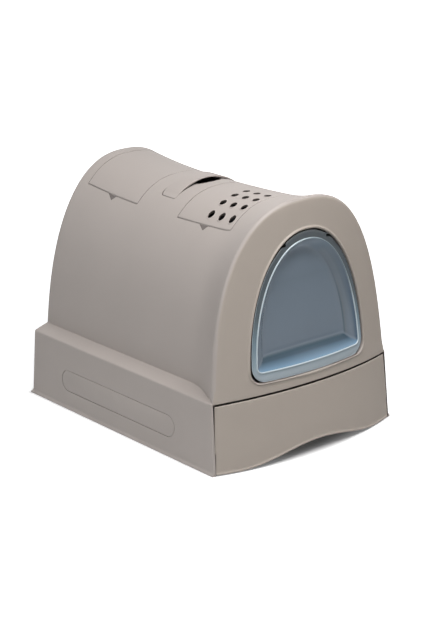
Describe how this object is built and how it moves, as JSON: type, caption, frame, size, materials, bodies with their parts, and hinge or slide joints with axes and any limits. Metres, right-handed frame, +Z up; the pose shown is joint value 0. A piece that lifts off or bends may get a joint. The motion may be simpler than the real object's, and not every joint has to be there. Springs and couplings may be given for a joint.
{
  "type": "hooded litter box",
  "caption": "Front-entry hooded cat litter box with a clear swing door, a pull-out litter drawer, hinged roof lids, a carry strap and an arched, flared hood.",
  "frame": {"origin": "on the floor under the middle of the overall box", "axes": "+Z up, the swing door and drawer face -Y, +X to the right seen from the front"},
  "size_m": [0.4, 0.545, 0.4275],
  "materials": {
    "hood_grey": "fine matte texture, warm grey",
    "housing_dark": "fine matte texture, darker warm grey",
    "face_grey": "satin matte, warm grey",
    "inlay_grey": "matte, warm grey",
    "tray_grey": "smooth matte, warm grey",
    "scoop_grey": "smooth matte, mid grey",
    "filter_charcoal": "dark felted carbon pad",
    "door_clear": "clear blue-grey tinted plastic, glossy"
  },
  "bodies": {
    "housing": {"base_pan": "housing_dark", "hood_shell": "hood_grey", "front_frame": "face_grey", "filter_well": "housing_dark", "storage_well": "housing_dark", "carry_handle": "hood_grey", "carbon_filter": "filter_charcoal", "litter_scoop": "scoop_grey", "side_inlay_left": "inlay_grey", "side_inlay_right": "inlay_grey"},
    "drawer": {"drawer_tray": "tray_grey", "drawer_front": "face_grey"},
    "door": {"swing_door": "door_clear"},
    "filter_lid": {"filter_lid": "hood_grey"},
    "storage_lid": {"storage_lid": "hood_grey"}
  },
  "joints": [
    {"name": "door_swing", "type": "hinge", "parent": "housing", "child": "door", "pos_m": [0, -0.23594, 0.358], "axis": [-1, 0, 0], "range_deg": [-60, 75]},
    {"name": "drawer_slide", "type": "slide", "parent": "housing", "child": "drawer", "axis": [0, -1, 0], "range_m": [0, 0.4]},
    {"name": "filter_lid_hinge", "type": "hinge", "parent": "housing", "child": "filter_lid", "pos_m": [0.0865, -0.0985, 0.37366], "axis": [0, 0.9992, -0.0402], "range_deg": [0, 100]},
    {"name": "storage_lid_hinge", "type": "hinge", "parent": "housing", "child": "storage_lid", "pos_m": [0.0865, 0.148, 0.37704], "axis": [0, 0.9972, 0.0754], "range_deg": [0, 100]}
  ]
}
